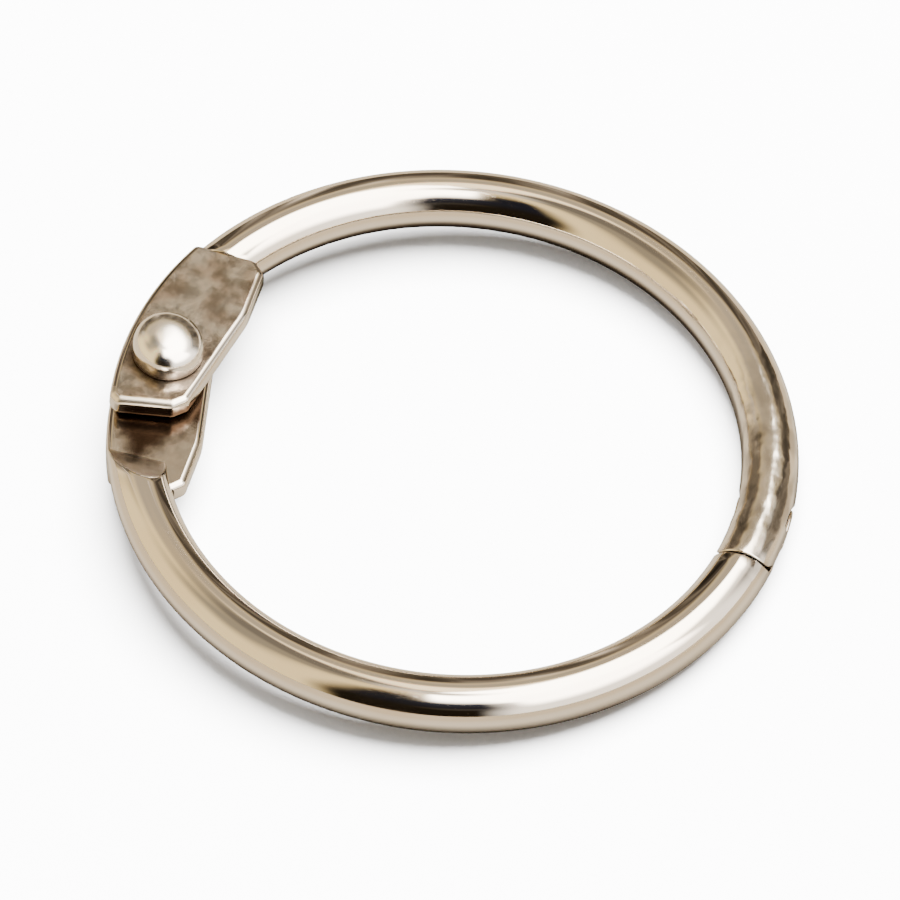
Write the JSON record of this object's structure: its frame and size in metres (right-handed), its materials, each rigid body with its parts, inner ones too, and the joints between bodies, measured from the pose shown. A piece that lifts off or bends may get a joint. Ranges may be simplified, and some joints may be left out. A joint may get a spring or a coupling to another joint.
{
  "type": "binder ring",
  "caption": "Hinged binder ring of round nickel-plated wire: two half rings riveted at flat lugs, with a lapped snap closure opposite.",
  "frame": {"origin": "centre of the closed ring, on the plane where its two halves meet", "axes": "+X from the rivet towards the closure, +Z along the ring's own axis towards the rivet's domed head"},
  "size_m": [0.036, 0.036, 0.0066],
  "materials": {
    "plated_wire": "bright nickel plating on steel wire",
    "plated_rivet": "bright nickel plating on a steel rivet"
  },
  "bodies": {
    "upper": {"upper_half": "plated_wire", "hinge_rivet": "plated_rivet"},
    "lower": {"lower_half": "plated_wire"}
  },
  "joints": [
    {"name": "ring_swing", "type": "hinge", "parent": "upper", "child": "lower", "pos_m": [-0.0156, 0, 0], "axis": [0, 0, -1], "range_deg": [0, 150]}
  ]
}
